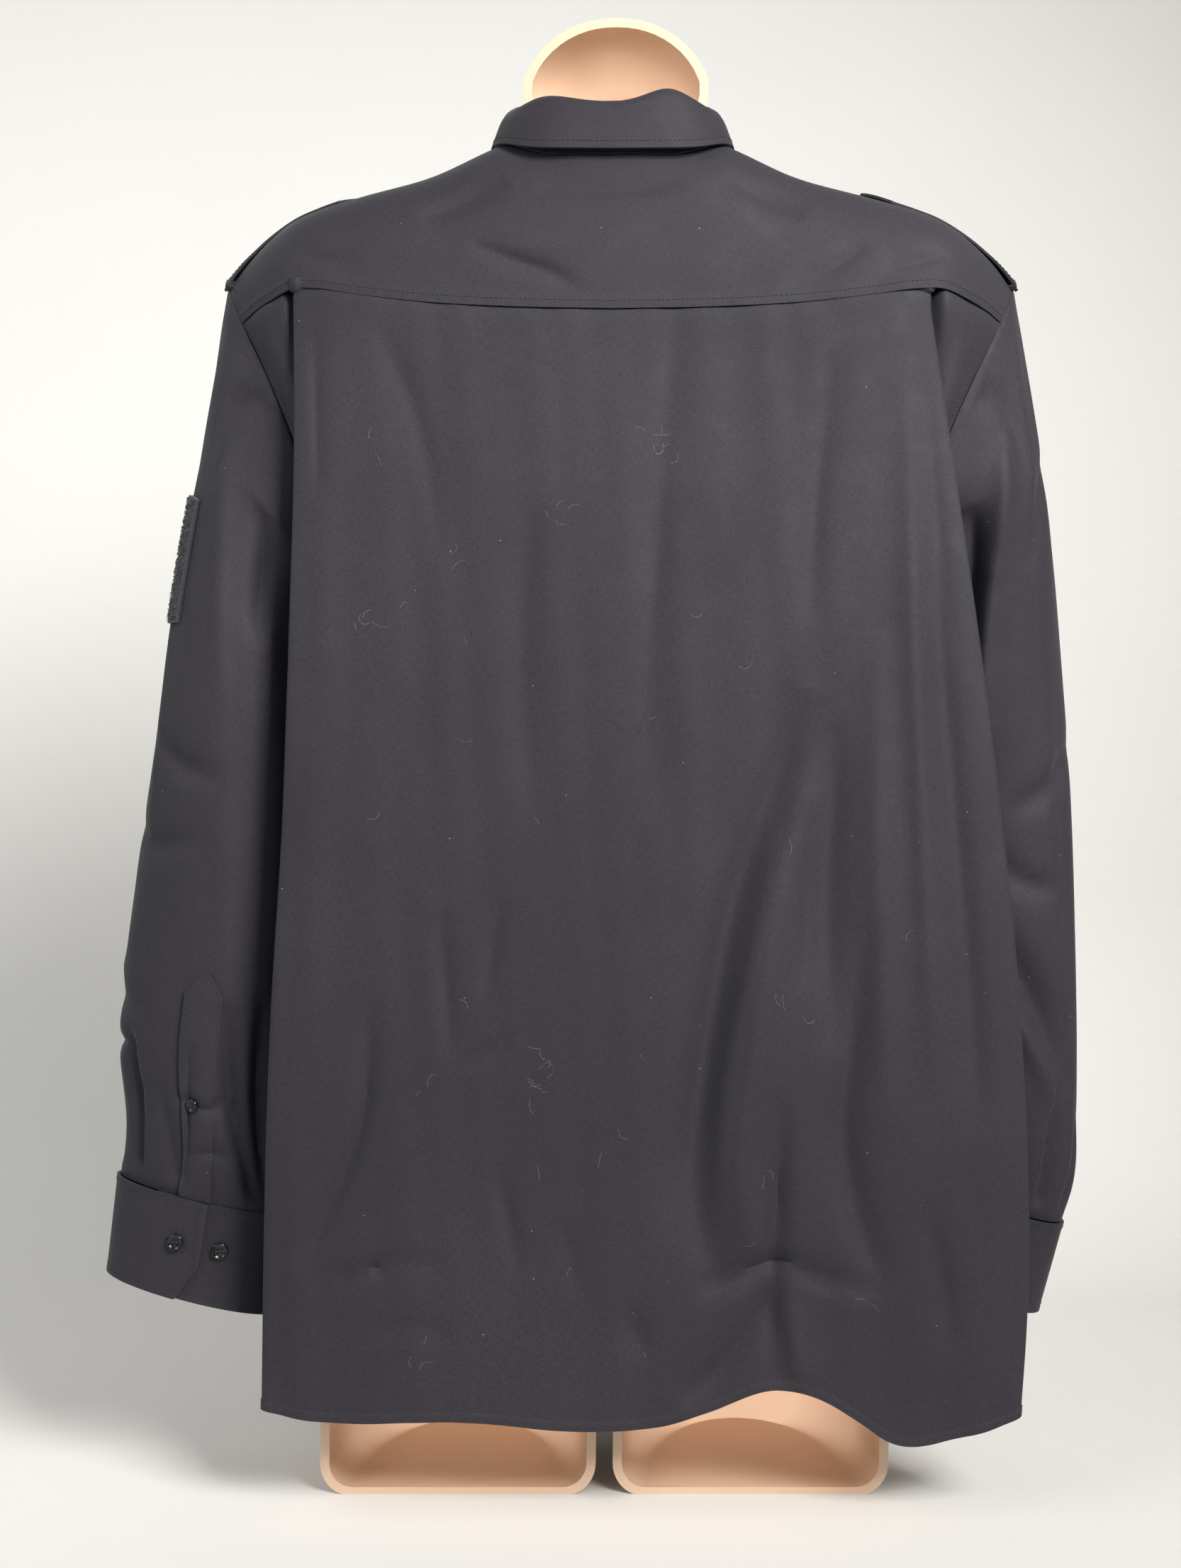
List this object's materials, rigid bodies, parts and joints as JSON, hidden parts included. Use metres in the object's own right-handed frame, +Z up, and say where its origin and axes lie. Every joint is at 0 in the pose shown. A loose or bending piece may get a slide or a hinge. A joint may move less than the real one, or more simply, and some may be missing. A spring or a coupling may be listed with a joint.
{
  "type": "uniform shirt on a torso form",
  "caption": "Long-sleeved buttoned uniform shirt with epaulettes and pleated back, worn by a hollow-backed limbless plastic torso form that stands on two thigh stubs.",
  "frame": {"origin": "the middle of the bounding box on the floor plane that the form's two thigh stubs stand on", "axes": "+Z up, +Y out of the back of the shirt, +X towards the wearer's left"},
  "size_m": [0.6476, 0.2481, 0.96],
  "materials": {
    "shirt_cloth": "very dark navy poly-cotton with a slight sheen",
    "loop_tape": "fuzzy black loop tape",
    "button_plastic": "satin black four-hole button",
    "form_plastic": "peach moulded plastic, satin"
  },
  "bodies": {
    "root": {"back": "shirt_cloth", "yoke": "shirt_cloth", "front_left": "shirt_cloth", "front_right": "shirt_cloth", "front_band": "shirt_cloth", "collar_stand": "shirt_cloth", "collar_fall": "shirt_cloth", "sleeve_left": "shirt_cloth", "sleeve_right": "shirt_cloth", "cuff_left": "shirt_cloth", "cuff_right": "shirt_cloth", "placket_left": "shirt_cloth", "placket_right": "shirt_cloth", "epaulette_left": "shirt_cloth", "epaulette_right": "shirt_cloth", "loop_patch": "loop_tape", "button_collar": "button_plastic", "button_front_1": "button_plastic", "button_front_2": "button_plastic", "button_front_3": "button_plastic", "button_front_4": "button_plastic", "button_front_5": "button_plastic", "button_front_6": "button_plastic", "button_front_7": "button_plastic", "button_cuff_left_over": "button_plastic", "button_cuff_left_spare": "button_plastic", "button_cuff_right_over": "button_plastic", "button_cuff_right_spare": "button_plastic", "button_placket_left": "button_plastic", "button_placket_right": "button_plastic", "button_epaulette_left": "button_plastic", "button_epaulette_right": "button_plastic", "torso_form": "form_plastic"}
  },
  "joints": []
}
